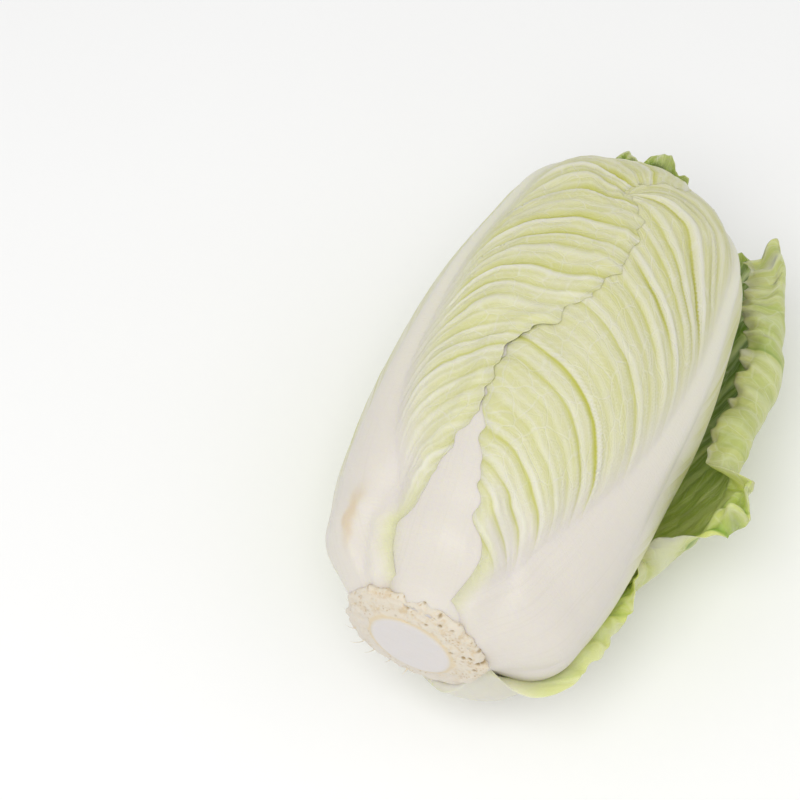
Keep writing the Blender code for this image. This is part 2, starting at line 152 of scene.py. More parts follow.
# From the innermost leaf to the outermost, as in the part.
LEAVES = (
    Leaf(
        name="inner_leaf_right", azimuth=((0, 128), (1, 135)), right=NARROW_BASE, left=NARROW_BASE,
        skin=-0.0115, past_tip=0.004, droop=0.03, grid=(70, 110), seed=3.0,
    ),
    Leaf(
        name="inner_leaf_left", azimuth=((0, -88), (1, -98)), right=NARROW_BASE, left=NARROW_BASE,
        skin=-0.0105, past_tip=0.008, droop=0.03, grid=(70, 110), seed=4.0,
    ),
    Leaf(
        name="centre_leaf", azimuth=((0, 10), (0.12, 3), (0.3, -6), (1, -14)),
        right=((0, 0.026), (0.1, 0.038), (0.3, 0.06), (0.6, 0.074), (1, 0.055)),
        left=((0, 0.026), (0.1, 0.038), (0.3, 0.06), (0.6, 0.074), (1, 0.055)),
        skin=-0.006, past_tip=0.03, droop=0.02, grid=(110, 200),
        lift=((0, 0.002), (0.08, 0.0016), (0.2, 0.0005), (0.3, 0), (1, 0)),
        rib_half_width=((0, 0.032), (0.15, 0.03), (0.35, 0.019), (0.6, 0.0085), (1, 0.002)),
        seed=5.0,
    ),
    Leaf(
        name="right_leaf", azimuth=((0, 66), (0.6, 66), (1, 60)),
        right=((0, 0.036), (0.1, 0.06), (0.3, 0.082), (0.6, 0.094), (0.8, 0.08), (1, 0.052)),
        left=(
            (0, 0.0262), (0.036, 0.0337), (0.068, 0.0403), (0.1, 0.047), (0.118, 0.0519),
            (0.132, 0.0604), (0.158, 0.0639), (0.176, 0.0719), (0.197, 0.0739), (0.22, 0.0805),
            (0.235, 0.0841), (0.26, 0.0873), (0.282, 0.093), (0.45, 0.098), (0.7, 0.09), (0.85, 0.082),
            (1, 0.062),
        ),
        skin=-0.0014, past_tip=0.014, droop=0.018, grid=(172, 268),
        creases_left=from_mm(
            -60, -48, -36, -24, -12, 0, 10, 17, 26, 33, 43, 51, 59, 66, 75, 82, 92, 101, 113, 120,
            132, 145, 153, 167, 185, 194, 213, 225, 245, 260, 280, 300, 330, 360,
        ),
        vein_rise=((0, 0.035), (0.25, 0.042), (0.45, 0.055), (0.6, 0.072), (1, 0.09)),
        vein_bend=0.03, lively=((-1, 1), (-0.1, 1), (0.1, 0.3), (1, 0.3)),
        cling=((-1, 1), (-0.1, 1), (0.1, 0), (1, 0)), crease_side=-1.0,
        lift=((0, 0), (0.04, 0.003), (0.1, 0.0075), (0.2, 0.0055), (0.35, 0.001), (0.5, 0), (1, 0)),
        lift_across=((-1, 0), (0, 0), (0.35, 1), (1, 1)),
        frill=0.001, frill_length=0.012, teeth=0.0018, crinkle=0.0006, seed=1.0,
    ),
    Leaf(
        name="left_leaf", azimuth=((0, -48), (0.3, -51), (1, -50)),
        right=(
            (0, 0.0176), (0.047, 0.0185), (0.072, 0.0231), (0.095, 0.0263), (0.11, 0.0315),
            (0.137, 0.0363), (0.16, 0.0401), (0.198, 0.0451), (0.245, 0.0494), (0.285, 0.0544),
            (0.344, 0.0558), (0.397, 0.0575), (0.425, 0.063), (0.45, 0.072), (0.472, 0.0712),
            (0.497, 0.0763), (0.546, 0.0808), (0.583, 0.0824), (0.617, 0.0806), (0.658, 0.0757),
            (0.711, 0.0684), (0.744, 0.0627), (0.88, 0.062), (1, 0.06),
        ),
        left=((0, 0.028), (0.1, 0.046), (0.3, 0.072), (0.6, 0.088), (0.8, 0.084), (1, 0.068)),
        skin=-0.0002, past_tip=0.012, droop=0.026, grid=(172, 268),
        creases_right=from_mm(
            -60, -48, -34, -21, -10, 0, 9, 20, 28, 38, 46, 56, 63, 74, 81, 88, 102, 110, 119, 132,
            139, 151, 165, 173, 190, 201, 214, 230, 242, 260, 280, 300, 330, 360,
        ),
        vein_rise=((0, 0.035), (0.3, 0.045), (0.7, 0.055), (1, 0.07)), vein_bend=0.017,
        lively=((-1, 0.3), (-0.1, 0.3), (0.1, 1), (1, 1)),
        cling=((-1, 0), (-0.1, 0), (0.1, 1), (1, 1)),
        lift=((0, 0), (0.34, 0), (0.41, 0.0006), (0.48, 0.0002), (0.6, 0), (1, 0)),
        lift_across=((-1, 0), (0.6, 0), (0.85, 0.6), (1, 1)),
        rib_half_width=((0, 0.029), (0.15, 0.023), (0.3, 0.01), (0.45, 0.006), (0.7, 0.004), (1, 0.002)),
        crease_depth=0.0013, pucker=0.0005, frill=0.0018, frill_width=0.02, frill_length=0.011,
        lobes=0.0012, teeth=0.0014, crinkle=0.0006, seed=2.0,
    ),
    Leaf(
        name="under_leaf", azimuth=((0, 196), (0.3, 186), (0.8, 186), (1, 196)),
        right=(
            (0, 0.034), (0.05, 0.056), (0.1, 0.07), (0.3, 0.088), (0.6, 0.092), (0.75, 0.092),
            (0.87, 0.07), (1, 0.029),
        ),
        left=((0, 0.027), (0.1, 0.04), (0.3, 0.058), (0.6, 0.052), (0.85, 0.028), (1, 0.028)),
        skin=0.0, cling=((-1, 1), (1, 1)),
        past_tip=0.02, droop=0.012, grid=(130, 210), tight=0.0, pucker=0.0022, crinkle=0.0032,
        frill=0.0024, frill_length=0.005, teeth=0.0024,
        lift=((0, 0), (0.75, 0), (0.9, 0.0035), (1, 0.0072)), material="green_leaf_tissue", seed=6.0,
    ),
    Leaf(
        name="loose_leaf", azimuth=((0, 150), (0.25, 148), (1, 148)),
        right=((0, 0.026), (0.1, 0.036), (0.3, 0.066), (0.6, 0.08), (0.85, 0.07), (1, 0.04)),
        left=(
            (0, 0.024), (0.06, 0.039), (0.1, 0.046), (0.25, 0.053), (0.36, 0.06), (0.43, 0.08),
            (0.455, 0.091), (0.475, 0.083), (0.495, 0.089), (0.53, 0.074), (0.56, 0.084), (0.7, 0.079),
            (0.85, 0.073), (1, 0.056),
        ),
        skin=0.0045, cling=((-1, 1), (1, 1)),
        past_tip=-0.08, droop=0.012, grid=(172, 260), crease_depth=0.0007, folds=0.0004, pucker=0.0009,
        frill=0.0022, frill_width=0.022, frill_length=0.011, tight=0.0, crinkle=0.0034, teeth=0.0014,
        lobes=0.0016,
        rib_half_width=((0, 0.026), (0.15, 0.022), (0.35, 0.012), (0.6, 0.0065), (1, 0.002)),
        free=True,
        lift=(
            (0, 0), (0.3, 0), (0.37, 0.003), (0.44, 0.008), (0.5, 0.011), (0.58, 0.011),
            (0.75, 0.011), (0.88, 0.003), (1, 0),
        ),
        lift_across=((-1, 1), (-0.85, 1), (-0.5, 0.8), (0, 0.3), (0.4, 0), (1, 0)),
        curl=(
            (0, 0), (0.03, -0.16), (0.12, -0.2), (0.27, -0.16), (0.32, 0.05), (0.35, 0.28),
            (0.39, 0.2), (0.43, -0.14), (0.48, -0.18), (0.53, 0.05), (0.57, 0.36), (0.7, 0.4),
            (0.92, 0.42), (1, 0.36),
        ),
        crumple=(
            (0, 0), (0.1, 0), (0.3, 0.05), (0.4, 0.12), (0.45, 0.22), (0.51, 0.22), (0.57, 0.1),
            (1, 0.12),
        ),
        curl_width=((0, 0.014), (0.1, 0.016), (0.28, 0.016), (0.36, 0.016), (0.46, 0.022), (1, 0.021)),
        spur=(-0.8, 0.01, 0.05), material="green_leaf_tissue", seed=7.0,
    ),
)


def smooth_curve(table, x):
    """A cubic curve through the table's (x, value) rows, level past its ends."""
    xs, values = np.array(table, float).T
    slopes = np.gradient(values, xs)
    x = np.clip(x, xs[0], xs[-1])
    i = np.clip(np.searchsorted(xs, x) - 1, 0, len(xs) - 2)
    step = xs[i + 1] - xs[i]
    t = (x - xs[i]) / step
    start = (1 + 2 * t) * (1 - t) ** 2 * values[i] + t * (1 - t) ** 2 * step * slopes[i]
    end = t * t * (3 - 2 * t) * values[i + 1] + t * t * (t - 1) * step * slopes[i + 1]
    return start + end


def ramp(x, low, high):
    """0 below low, 1 above high, and smooth between."""
    t = np.clip((x - low) / (high - low), 0, 1)
    return t * t * (3 - 2 * t)


def dice(x, y, seed):
    """A fixed number from -1 to 1 for each pair of whole numbers."""
    mixed = np.sin(x * 127.1 + y * 311.7 + seed * 74.7) * 43758.5453
    return (mixed - np.floor(mixed)) * 2 - 1


def noise(x, y, seed):
    """Smooth uneven ground from -1 to 1, with about one bump per unit."""
    left, low = np.floor(x), np.floor(y)
    across, up = x - left, y - low
    across = across * across * (3 - 2 * across)
    up = up * up * (3 - 2 * up)
    bottom = dice(left, low, seed) * (1 - across) + dice(left + 1, low, seed) * across
    top = dice(left, low + 1, seed) * (1 - across) + dice(left + 1, low + 1, seed) * across
    return bottom * (1 - up) + top * up


def in_frame(radius, turn, y):
    """Points in the part's frame, shape (..., 3), from a radius, a turn and y from the cut end."""
    x, z = radius * np.sin(turn), radius * np.cos(turn)
    return np.stack([x, y - HEAD_LENGTH / 2, AXIS_HEIGHT + z], -1)


class Skin:
    """A smooth barrel. Places on it are (distance to its tip along the skin, azimuth)."""

    def __init__(self, radii, length):
        body_end, body_radius = radii[-1]
        y = np.linspace(0, body_end, 400)
        radius = smooth_curve(radii, y)
        slope = (radius[-1] - radius[-2]) / (y[-1] - y[-2])
        turn = np.linspace(0, math.pi / 2, 400)[1:]
        crown_y = body_end + (length - body_end) * np.sin(turn)
        crown_radius = (body_radius + slope * (crown_y - body_end)) * np.cos(turn)
        y = np.append(y, crown_y)
        radius = np.append(radius, crown_radius)
        along = np.append(0, np.cumsum(np.hypot(np.diff(y), np.diff(radius))))
        self.from_tip = (along[-1] - along)[::-1]
        self.y = y[::-1]
        self.radius = radius[::-1]
        self.out_radius = -np.gradient(self.y, self.from_tip)
        self.out_y = np.gradient(self.radius, self.from_tip)

    def distance_at(self, y):
        """Distance to the tip along the skin, of the circle y from the cut end."""
        return float(np.interp(y, self.y[::-1], self.from_tip[::-1]))

    def radius_at(self, distance):
        return np.interp(distance, self.from_tip, self.radius)

    def point(self, distance, azimuth, height):
        out_radius = np.interp(distance, self.from_tip, self.out_radius)
        out_y = np.interp(distance, self.from_tip, self.out_y)
        radius = self.radius_at(distance) + height * out_radius
        y = np.interp(distance, self.from_tip, self.y) + height * out_y
        return in_frame(radius, np.radians(azimuth), y)


class Sheet:
    """One leaf on a grid, and where each point lies on its barrel.

    A leaf's own coordinates are metres aside, from its midrib, and ahead, from its start. Across
    runs from -1 to 1 between its edges, and along from 0 to 1.
    """

    def __init__(self, skin, leaf, columns, rows):
        self.across, self.along = np.meshgrid(
            np.linspace(-1, 1, columns), np.linspace(ROOT_SHARE, 1, rows)
        )
        half_width = np.where(self.across > 0, self.follow(leaf.right), self.follow(leaf.left))
        start = skin.distance_at(LEAF_START)
        length = start + leaf.past_tip
        self.ahead = self.along * length
        self.aside = self.across * half_width
        self.edge = np.minimum((1 - np.abs(self.across)) * half_width, (1 - self.along) * length)
        self.find_creases(leaf)
        self.shape_edges(leaf)
        turned = self.curl_edge(leaf, half_width)
        to_tip = start - self.ahead + leaf.droop * np.abs(self.across) ** 1.4 * self.along**3
        tip_wave = (0.002 + leaf.frill) * noise(self.across * 5.3, 0 * self.across, leaf.seed + 0.3)
        tip_wave += leaf.teeth * noise(self.across * 14, 0 * self.across, leaf.seed + 0.4)
        place, spur, width = leaf.spur
        tip_wave = tip_wave - spur * np.exp(-(((self.across - place) / width) ** 4))
        to_tip = to_tip + tip_wave * ramp(self.along, 0.8, 1)
        fold = 1 - ramp(to_tip, BEND_END, BEND_START)
        round_turn = turned / skin.radius_at(np.maximum(to_tip, BEND_END))
        over_turn = np.arctan2(turned, to_tip)
        self.distance = (1 - fold) * to_tip + fold * np.hypot(turned, to_tip)
        turn = (1 - fold) * round_turn + fold * over_turn
        self.azimuth = self.follow(leaf.azimuth) + np.degrees(turn)

    def follow(self, table):
        return smooth_curve(table, self.along)

    def find_creases(self, leaf):
        """For each point, which crease is nearest, and how far it lies towards the tip of it."""
        off_rib = np.abs(self.aside) - self.follow(leaf.rib_half_width)
        out = 1 - np.exp(-np.maximum(off_rib, 0) / leaf.vein_bend)
        root = self.ahead - self.follow(leaf.vein_rise) * out - VEIN_SLANT * off_rib
        for i, (shift, width, length) in enumerate(VEIN_WANDER):
            bend = noise(self.aside / width, self.ahead / length, leaf.seed + 0.1 * i)
            root = root + shift * bend
        self.root = root
        right = self.across > 0
        number = np.empty(root.shape)
        self.crease_gap = np.empty(root.shape)
        for side, places in ((right, leaf.creases_right), (~right, leaf.creases_left)):
            count = np.arange(len(places))
            number[side] = np.interp(root[side], places, count)
            self.crease_gap[side] = np.interp(root[side], places, np.gradient(np.array(places)))
        self.crease = np.round(number)
        self.past_crease = (number - self.crease) * self.crease_gap
        self.number = number
        self.crease_strength = 0.5 + 0.5 * dice(self.crease, right * 1.0, leaf.seed + 0.7)

    def shape_edges(self, leaf):
        """Each pleat ends in a lobe, and small teeth run along the whole edge."""
        side = np.where(self.across > 0, 0, -1)
        edge_number = np.take_along_axis(self.number[:, [-1, 0]], -side, axis=1)
        lobe = np.abs(np.sin(math.pi * edge_number)) - 0.6
        lobe = lobe * (0.75 + 0.6 * dice(np.floor(edge_number), side, leaf.seed + 0.8))
        near = ramp(np.abs(self.across), 0.55, 1.0) * ramp(self.along, 0.06, 0.25)
        large, small = TOOTH_LENGTHS
        tooth = noise(self.ahead / large, 5.0 * side, leaf.seed + 0.5)
        tooth = tooth + 0.7 * noise(self.ahead / small, 5.0 * side, leaf.seed + 0.6)
        out = near * (leaf.lobes * lobe + leaf.teeth * tooth)
        self.aside = self.aside + np.sign(self.across) * out

    def curl_edge(self, leaf, half_width):
        """Rolls the left edge up, and gives how far aside each point is then, round the barrel."""
        curl_width = self.follow(leaf.curl_width)
        inside = np.clip(np.abs(self.aside) - (half_width - curl_width), 0, None)
        inside = np.where(self.across < 0, inside, 0)
        (long, wide), (short, narrow) = CRUMPLES
        uneven = noise(self.ahead / long, inside / wide, leaf.seed + 0.9)
        uneven = uneven + 0.8 * noise(self.ahead / short, inside / narrow, leaf.seed + 0.2)
        turns = self.follow(leaf.curl) + self.follow(leaf.crumple) * uneven
        bend = turns * 2 * math.pi / curl_width
        self.curl_turn = bend * inside
        out = inside * np.sinc(self.curl_turn / math.pi)
        self.curl_height = -inside * (self.curl_turn / 2) * np.sinc(self.curl_turn / 2 / math.pi) ** 2
        return self.aside + inside - out

    def points(self, skin, base, height):
        """Points at a height over the base, square to the leaf where its edge is curled."""
        radius = skin.radius_at(np.maximum(self.distance, 0.02))
        azimuth = self.azimuth - np.degrees(height * np.sin(self.curl_turn) / radius)
        return skin.point(self.distance, azimuth, base + self.curl_height + height * np.cos(self.curl_turn))


def relax(heights, floor, rounds):
    """Evens the heights out, and keeps them on or over the floor."""
    for _ in range(rounds):
        wide = np.pad(heights, 1, mode="edge")
        mean = (wide[:-2, 1:-1] + wide[2:, 1:-1] + wide[1:-1, :-2] + wide[1:-1, 2:]) / 4
        heights = np.maximum((heights + mean) / 2, floor)
    return heights


def highest_near(heights, reach):
    """The highest of the neighbours up to reach grid steps away."""
    rows, columns = heights.shape
    wide = np.pad(heights, reach, mode="edge")
    steps = range(2 * reach + 1)
    return np.max([wide[i : i + rows, j : j + columns] for i in steps for j in steps], axis=0)


def carry_over(coarse, columns, rows):
    """Values on the coarse grid, evened out on a finer one."""
    x = np.linspace(0, coarse.shape[1] - 1, columns)
    y = np.linspace(0, coarse.shape[0] - 1, rows)
    i, j = np.minimum(x.astype(int), coarse.shape[1] - 2), np.minimum(y.astype(int), len(coarse) - 2)
    a, b = x - i, (y - j)[:, None]
    low = coarse[j][:, i] * (1 - a) + coarse[j][:, i + 1] * a
    high = coarse[j + 1][:, i] * (1 - a) + coarse[j + 1][:, i + 1] * a
    return relax(low * (1 - b) + high * b, -1.0, rounds=8)


class Stack:
    """The leaves laid so far, for the next one to be draped over."""

    def __init__(self):
        self.laid = []

    def add(self, places, tops):
        every = (slice(None, None, 2), slice(None, None, 2))
        places, tops, highest = places[every], tops[every], highest_near(tops, 1)[every]
        tree = kdtree.KDTree(tops.size)
        for i, place in enumerate(places.reshape(-1, 3)):
            tree.insert(place, i)
        tree.balance()
        self.laid.append((tree, highest.ravel(), tops.ravel()))

    def height(self, places, close=False):
        """The height of what lies under each place, which falls away beside a leaf's edge."""
        found = np.full(places.size // 3, CORE_HEIGHT)
        for tree, highest, tops in self.laid:
            tops = tops if close else highest
            near = [tree.find(place)[1:] for place in places.reshape(-1, 3)]
            index = np.array([n[0] for n in near])
            away = np.array([n[1] for n in near])
            found = np.maximum(found, tops[index] - DRAPE_SLOPE * np.maximum(away - 0.002, 0))
        return found.reshape(places.shape[:-1])


def leaf_relief(leaf, sheet):
    """Heights of the pleats, veins, puckers and edge waves, and what the materials show of them."""
    seed = leaf.seed
    aside, ahead, root = sheet.aside, sheet.ahead, sheet.root
    rib_width = sheet.follow(leaf.rib_half_width)
    beside_rib = np.abs(aside) / rib_width
    off_rib = np.abs(aside) - rib_width
    upper = ramp(sheet.along, 0.05, 0.2)
    blade = ramp(off_rib, -0.003, 0.016) * upper
    past = sheet.past_crease * leaf.crease_side
    worn = 0.55 + 0.85 * noise(aside / 0.024, ahead / 0.05, seed + 1.1)
    strength = np.clip(sheet.crease_strength * worn, 0, 1) * blade
    gap = sheet.crease_gap
    share = past / gap
    crease = np.where(past > 0, np.exp(-share / 0.22) * (1 - 4 * share**2), np.exp(past / 0.0017))
    far = ramp(np.abs(aside), 0.0, 0.075)
    vein = np.clip(1 - ((share + 0.25) / (0.25 - 0.09 * far)) ** 2, 0, 1) ** 1.3
    vein = vein * blade * (0.45 + 0.75 * sheet.crease_strength)
    second = np.exp(-(((share - 0.34) / 0.06) ** 2)) * blade
    # Uneven ground is given by its size in metres, across and along. Folds follow the veins: broad
    # ones over the blade, and narrow gathers where it leaves the rib.
    folds = noise(root / 0.0085, aside / 0.05, seed + 1.8) * blade
    gathers = noise(root / 0.004, aside / 0.035, seed + 1.9) * blade * (1 - ramp(off_rib, 0.015, 0.05))
    quilt = noise(aside / 0.0085, ahead / 0.01, seed + 1.2)
    quilt = quilt + 0.6 * noise(aside / 0.0038, ahead / 0.0044, seed + 1.3)
    swells = noise(aside / 0.045, ahead / 0.06, seed + 1.4)
    near_edge = (1 - ramp(sheet.edge, 0, leaf.frill_width)) * ramp(sheet.along, 0.04, 0.2)
    at_tip = ramp(sheet.along, 0.78, 0.92)
    run, cross = ahead + (aside - ahead) * at_tip, aside + (ahead - aside) * at_tip
    wave = noise(run / leaf.frill_length, cross / 0.05, seed + 1.5)
    wave = wave + 0.5 * noise(run / leaf.frill_length * 2.3, cross / 0.03, seed + 1.6)
    stripes = noise(aside / 0.004, ahead / 0.11, seed + 1.7) * (1 - ramp(beside_rib, 0.8, 1.4))
    held = 0.25 + 0.75 * ramp(sheet.edge, 0, 0.025)
    deep = leaf.crease_depth * np.clip(gap / 0.013, 0.4, 1.5)
    relief = held * (leaf.crease_depth * blade - deep * crease * strength)
    relief += VEIN_HEIGHT * (vein * (1 - 0.5 * far) + 0.3 * second)
    relief += leaf.folds * held * folds + GATHER_HEIGHT * gathers
    relief += leaf.pucker * quilt * blade * (1 - 0.7 * np.clip(vein, 0, 1))
    relief += SWELL_HEIGHT * swells * blade + STRIPE_HEIGHT * stripes
    relief = relief * smooth_curve(leaf.lively, sheet.across)
    relief += leaf.frill * (0.35 + wave) * near_edge**1.5
    crinkle = noise(ahead / 0.0048, aside / 0.006, seed + 2.0) * (1 - ramp(sheet.edge, 0, 0.014))
    relief += leaf.crinkle * crinkle * ramp(sheet.along, 0.1, 0.25)
    fade = 0.024 - 0.014 * ramp(sheet.along, 0.3, 0.6)
    green = ramp(off_rib, -0.004, fade) * ramp(sheet.along, 0.07, 0.26)
    edge_green = (1 - ramp(sheet.edge, 0.0, 0.015)) * ramp(sheet.along, 0.02, 0.1)
    looks = {
        "green": np.clip(np.maximum(green, 0.7 * edge_green), 0, 1),
        "strength": strength,
        "number": sheet.number,
        "gap": gap * leaf.crease_side,
        "vein": np.clip(vein * (1 - 0.35 * far) + 0.4 * second, 0, 1),
        "rim": 1 - ramp(sheet.edge, 0.0, 0.009),
        "tipward": np.clip(sheet.along, 0, 1),
        "flow": np.stack([root, aside, 0 * aside + seed], -1),
        "sheet": np.stack([aside, ahead, 0 * aside + seed], -1),
    }
    return relief, looks


def press_edge(skin, stack, leaf, sheet, base):
    """Lays a leaf's edge close on what is under it. Gives the new base and how closely it lies."""
    pressed = (1 - ramp(sheet.edge, *PRESSED_EDGE)) * smooth_curve(leaf.cling, sheet.across)
    lift = sheet.follow(leaf.lift) * smooth_curve(leaf.lift_across, sheet.across)
    pressed = pressed * ramp(sheet.along, 0.0, 0.03) * (1 - ramp(lift, 0.0, 0.002))
    near = pressed > 0.01
    if not near.any():
        return base, pressed
    under = stack.height(skin.point(sheet.distance[near], sheet.azimuth[near], 0.0), close=True)
    under = np.clip(under, base[near] - SINK_DOWN, base[near] + SINK_UP)
    base = base.copy()
    base[near] += (under - base[near]) * pressed[near]
    return relax(base, -1.0, rounds=2), pressed


def leaf_faces(skin, stack, leaf, sheet):
    """Points of the leaf's outer and inner faces, heights of its top, and what it looks like."""
    rough = Sheet(skin, leaf, *COARSE)
    depth = rough.follow(leaf.rib_depth)
    lean = CLING * (1 - ramp(rough.edge, 0, 0.03)) * smooth_curve(leaf.cling, rough.across)
    places = skin.point(rough.distance, rough.azimuth, 0.0)
    floor = stack.height(places) + LEAF_GAP
    sink = CROWN_SINK * ramp(rough.along, 0.72, 0.98)
    if leaf.free:
        y = places[..., 1] + HEAD_LENGTH / 2
        clear = np.interp(y, *np.array(FREE_RADII).T) - np.interp(y, *np.array(SKIN_RADII).T)
        floor = np.maximum(floor - clear, -depth - CLING) * (1 - ramp(rough.along, 0.26, 0.4))
        lean = lean * (1 - ramp(rough.along, 0.26, 0.4))
    floor = floor + (-leaf.foot_depth - floor) * (1 - ramp(rough.along, -0.01, 0.025))
    laid = relax(np.maximum(floor, leaf.skin - depth - lean - sink), floor, rounds=5)
    base = carry_over(laid, *leaf.grid)
    pressed = np.zeros(base.shape)
    if not leaf.free:
        base, pressed = press_edge(skin, stack, leaf, sheet, base)
    depth = sheet.follow(leaf.rib_depth)
    rib = np.abs(sheet.aside) / sheet.follow(leaf.rib_half_width)
    rib = np.clip(1 - rib**2, 0, 1) ** 1.2 * ramp(sheet.edge, -0.001, 0.012)
    blade = BLADE * (EDGE_BLADE + (1 - EDGE_BLADE) * ramp(sheet.edge, 0, EDGE_TAPER))
    thickness = blade + np.maximum(depth - BLADE, 0) * rib
    relief, looks = leaf_relief(leaf, sheet)
    relief = relief * (1 - PRESSED_LOSS * pressed) * (1 - leaf.tight * ramp(sheet.along, 0.75, 0.93))
    base = base + sheet.follow(leaf.lift) * smooth_curve(leaf.lift_across, sheet.across)
    foot = skin.point(sheet.distance, sheet.azimuth, 0.0)[..., 2]
    fall = foot - skin.point(sheet.distance, sheet.azimuth, 1.0)[..., 2]
    ground = np.where(fall > 0.15, foot / np.maximum(fall, 0.15), 1.0)
    top = np.minimum(relief + thickness, ground - base - sheet.curl_height)
    outer = sheet.points(skin, base, top)
    inner = sheet.points(skin, base, top - thickness)
    return outer, inner, base + sheet.curl_height + top, looks


def add_object(name, data):
    obj = bpy.data.objects.new(name, data)
    bpy.context.scene.collection.objects.link(obj)
    return obj


def closed_sheet(name, outer, inner, looks):
    """A mesh with an outer and an inner face of the same grid, joined round the edge."""
    rows, columns = outer.shape[:2]
    count = rows * columns
    index = np.arange(count).reshape(rows, columns)
    cell = [index[:-1, :-1], index[:-1, 1:], index[1:, 1:], index[1:, :-1]]
    top = np.stack([c.ravel() for c in cell], -1)
    around = np.concatenate([index[0], index[1:, -1], index[-1, -2::-1], index[-2:0:-1, 0]])
    after = np.roll(around, -1)
    rim = np.stack([after, around, around + count, after + count], -1)
    faces = np.concatenate([top, top[:, ::-1] + count, rim])
    mesh = bpy.data.meshes.new(name)
    mesh.from_pydata(np.concatenate([outer.reshape(-1, 3), inner.reshape(-1, 3)]), [], faces)
    for key, value in looks.items():
        both = np.concatenate([value.reshape(count, -1)] * 2)
        set_attribute(mesh, key, both)
    set_attribute(mesh, "inside", np.repeat([0.0, 1.0], count))
    mesh.shade_smooth()
    return add_object(name, mesh)


def set_attribute(mesh, name, values):
    """One number, or one set of three, for each point of the mesh."""
    vector = values.ndim == 2 and values.shape[1] == 3
    attribute = mesh.attributes.new(name, "FLOAT_VECTOR" if vector else "FLOAT", "POINT")
    attribute.data.foreach_set("vector" if vector else "value", values.astype(np.float32).ravel())


def bruise_on(sheet):
    """A tan streak at the foot of the left leaf's rib."""
    lean = sheet.aside - 0.002 - 0.35 * (sheet.ahead - 0.03)
    lean = lean + 0.0015 * noise(sheet.ahead / 0.006, sheet.aside / 0.004, 8.0)
    return np.exp(-((lean / 0.0035) ** 2) - ((sheet.ahead - 0.032) / 0.013) ** 2)


def add_leaf(skin, stack, leaf, materials):
    """The finer leaf in place of the part's node of the same name."""
    if leaf.free:
        skin = Skin(FREE_RADII, FREE_LENGTH)
    sheet = Sheet(skin, leaf, *leaf.grid)
    outer, inner, top, looks = leaf_faces(skin, stack, leaf, sheet)
    stack.add(skin.point(sheet.distance, sheet.azimuth, 0.0), top)
    looks["bruise"] = bruise_on(sheet) if leaf.name == "left_leaf" else np.zeros(top.shape)
    obj = closed_sheet("fine_" + leaf.name, outer, inner, looks)
    obj.data.materials.append(materials[leaf.material])
    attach(obj, "root")
    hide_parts(leaf.name)


# The stem: (radius, distance from the cut end), from the middle of the cut to the core's tip.
STEM_OUTLINE = (
    (0.0, 0.0003), (0.01, 0.0001), (0.017, 0.0), (0.0189, 0.0003), (0.0197, 0.001), (0.022, 0.0014),
    (0.0255, 0.0021), (0.029, 0.0029), (0.032, 0.0044), (0.0329, 0.0058), (0.031, 0.0082),
    (0.024, 0.01), (0.0195, 0.015),
)
CORE_START = 0.006
STEM_COLUMNS = 300
RING_EDGE = (0.0188, 0.0206)  # radii between which the ring starts
CUT_EDGE = (0.0172, 0.0188)  # radii between which the smooth cut ends
GROOVE_RADIUS, GROOVE_WIDTH = 0.0196, 0.0008
PIT_SPACING, SMALL_PIT_SPACING = 0.0052, 0.0021
PIT_DEPTH, SMALL_PIT_DEPTH = 0.0008, 0.0003
ROUGH_HEIGHT, LINE_HEIGHT = 0.0004, 0.0003
WORN_SIDE = 0.5  # the ring is most pitted towards this turn, in radians from straight up
TORN_FIBRES = (  # (azimuth, radius, length, lean outwards) of each strand at the ring's rim
    (-128, 0.0305, 0.0085, 0.9), (-112, 0.031, 0.006, 1.3), (-141, 0.03, 0.007, 0.7),
    (-158, 0.0305, 0.005, 1.1), (-86, 0.0312, 0.005, 1.2), (-67, 0.031, 0.0065, 1.0),
    (-175, 0.03, 0.006, 0.9), (160, 0.0298, 0.0045, 0.8), (98, 0.0305, 0.004, 1.1),
    (-40, 0.0308, 0.003, 0.8), (62, 0.0308, 0.0035, 1.0),
)
FIBRE_RADIUS = 0.00045


def outline_points(skin):
    """The stem's outline, close together on the cut and the ring and far apart on the core."""
    radius, y = np.array(STEM_OUTLINE).T
    along = np.append(0, np.cumsum(np.hypot(np.diff(radius), np.diff(y))))
    fine = np.linspace(0, along[-1], 110)
    radius, y = np.interp(fine, along, radius), np.interp(fine, along, y)
    for _ in range(3):
        radius[1:-1] = (radius[:-2] + 2 * radius[1:-1] + radius[2:]) / 4
        y[1:-1] = (y[:-2] + 2 * y[1:-1] + y[2:]) / 4
    distance = skin.distance_at(CORE_START) * (1 - np.arange(1, 17) / 16) ** 1.3
    core = skin.point(distance, 90.0, CORE_HEIGHT)
    radius = np.append(radius, np.maximum(core[:, 0], 0))
    return radius, np.append(y, core[:, 1] + HEAD_LENGTH / 2)


def cells(x, y, seed):
    """Distance to the nearest of scattered points, one to each unit square."""
    nearest = np.full(np.shape(x), 9.0)
    for i in (-1, 0, 1):
        for j in (-1, 0, 1):
            a, b = np.floor(x) + i, np.floor(y) + j
            dx = a + 0.5 + 0.4 * dice(a, b, seed) - x
            dy = b + 0.5 + 0.4 * dice(a, b, seed + 0.5) - y
            nearest = np.minimum(nearest, np.hypot(dx, dy))
    return nearest


